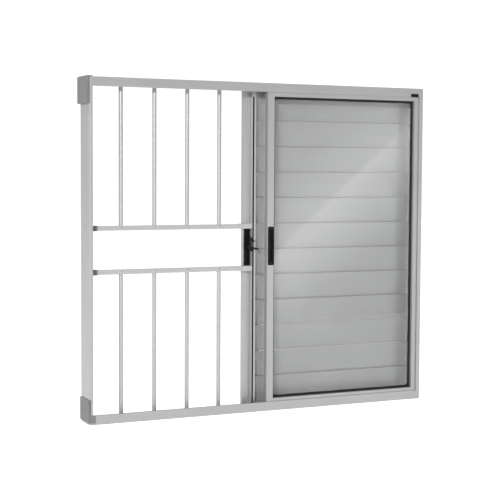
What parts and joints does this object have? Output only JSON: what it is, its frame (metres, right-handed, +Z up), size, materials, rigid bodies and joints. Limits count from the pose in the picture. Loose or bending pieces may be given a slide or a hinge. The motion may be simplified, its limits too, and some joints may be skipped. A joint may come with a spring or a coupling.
{
  "type": "sliding window with security grille",
  "caption": "Aluminium sliding window with a fixed security grille over one half, a sliding glass leaf and a sliding louvre leaf with a claw latch.",
  "frame": {"origin": "middle of the sill's bottom face, at half the frame's depth", "axes": "+X to the right as seen from the room, +Y towards the outside, +Z up"},
  "size_m": [1.13, 0.082, 1.003],
  "materials": {
    "frame_aluminium": "satin anodised",
    "grille_aluminium": "satin anodised",
    "blade_aluminium": "satin anodised sheet",
    "black_plastic": "fine grain",
    "dark_grey_plastic": "matt",
    "grey_plastic": "matt",
    "black_rubber": "matt",
    "clear_glass": "clear float",
    "steel": "zinc plated",
    "nylon": "natural nylon"
  },
  "bodies": {
    "frame": {"badge_plate": "black_plastic", "fixed_louvre_blades": "blade_aluminium", "fixed_louvre_bottom_rail": "frame_aluminium", "fixed_louvre_left_stile": "frame_aluminium", "fixed_louvre_right_stile": "frame_aluminium", "fixed_louvre_top_rail": "frame_aluminium", "frame_head": "frame_aluminium", "frame_left_jamb": "frame_aluminium", "frame_right_jamb": "frame_aluminium", "frame_sill": "frame_aluminium", "glass_strike": "steel", "grille_bar_lower_1": "grille_aluminium", "grille_bar_lower_2": "grille_aluminium", "grille_bar_lower_3": "grille_aluminium", "grille_bar_lower_4": "grille_aluminium", "grille_bar_upper_1": "grille_aluminium", "grille_bar_upper_2": "grille_aluminium", "grille_bar_upper_3": "grille_aluminium", "grille_bar_upper_4": "grille_aluminium", "grille_post": "grille_aluminium", "grille_post_strip": "black_rubber", "grille_rail_lower": "grille_aluminium", "grille_rail_upper": "grille_aluminium", "grille_rivets": "steel", "jamb_screws": "steel", "left_bumpers": "black_rubber", "louvre_strike": "steel", "lower_corner_guard": "dark_grey_plastic", "rail_plugs": "nylon", "rail_post_sleeve_lower": "grille_aluminium", "rail_post_sleeve_upper": "grille_aluminium", "rail_wall_sleeves": "grey_plastic", "right_bumpers": "black_rubber", "upper_corner_guard": "dark_grey_plastic"},
    "louvre_leaf": {"louvre_leaf_axles": "steel", "louvre_leaf_blades": "blade_aluminium", "louvre_leaf_bottom_rail": "frame_aluminium", "louvre_leaf_jamb_stile": "frame_aluminium", "louvre_leaf_lock_stile": "frame_aluminium", "louvre_leaf_roller_housings": "nylon", "louvre_leaf_top_rail": "frame_aluminium", "louvre_lock_body": "black_plastic", "louvre_lock_screws": "steel"},
    "glass_leaf": {"glass_gasket": "black_rubber", "glass_leaf_axles": "steel", "glass_leaf_bottom_rail": "frame_aluminium", "glass_leaf_jamb_stile": "frame_aluminium", "glass_leaf_pull_stile": "frame_aluminium", "glass_leaf_roller_housings": "nylon", "glass_leaf_top_rail": "frame_aluminium", "glass_pane": "clear_glass", "glass_pull_body": "black_plastic", "glass_pull_screws": "steel"},
    "lock_lever": {"louvre_lock_lever": "black_plastic"},
    "thumb_latch": {"glass_thumb_latch": "black_plastic"},
    "glass_roller_left": {"glass_leaf_roller_left": "nylon"},
    "glass_roller_right": {"glass_leaf_roller_right": "nylon"},
    "louvre_roller_left": {"louvre_leaf_roller_left": "nylon"},
    "louvre_roller_right": {"louvre_leaf_roller_right": "nylon"}
  },
  "joints": [
    {"name": "glass_leaf_slide", "type": "slide", "parent": "frame", "child": "glass_leaf", "axis": [-1, 0, 0], "range_m": [0, 0.5615]},
    {"name": "louvre_leaf_slide", "type": "slide", "parent": "frame", "child": "louvre_leaf", "axis": [-1, 0, 0], "range_m": [0, 0.5]},
    {"name": "lock_lever_turn", "type": "hinge", "parent": "louvre_leaf", "child": "lock_lever", "pos_m": [-0.04, 0.017, 0.502], "axis": [0, 1, 0], "range_deg": [0, 90]},
    {"name": "thumb_latch_slide", "type": "slide", "parent": "glass_leaf", "child": "thumb_latch", "axis": [0, 0, 1], "range_m": [0, 0.01]},
    {"name": "glass_roller_left_spin", "type": "hinge", "parent": "glass_leaf", "child": "glass_roller_left", "pos_m": [0.0665, -0.026, 0.01205], "axis": [0, 1, 0], "continuous": true},
    {"name": "glass_roller_right_spin", "type": "hinge", "parent": "glass_leaf", "child": "glass_roller_right", "pos_m": [0.495, -0.026, 0.01205], "axis": [0, 1, 0], "continuous": true},
    {"name": "louvre_roller_left_spin", "type": "hinge", "parent": "louvre_leaf", "child": "louvre_roller_left", "pos_m": [0.005, 0.017, 0.01205], "axis": [0, 1, 0], "continuous": true},
    {"name": "louvre_roller_right_spin", "type": "hinge", "parent": "louvre_leaf", "child": "louvre_roller_right", "pos_m": [0.495, 0.017, 0.01205], "axis": [0, 1, 0], "continuous": true}
  ],
  "couplings": [
    {"joint": "glass_roller_left_spin", "follows": "glass_leaf_slide", "rad_per_m": -200},
    {"joint": "glass_roller_right_spin", "follows": "glass_leaf_slide", "rad_per_m": -200},
    {"joint": "louvre_roller_left_spin", "follows": "louvre_leaf_slide", "rad_per_m": -200},
    {"joint": "louvre_roller_right_spin", "follows": "louvre_leaf_slide", "rad_per_m": -200}
  ]
}
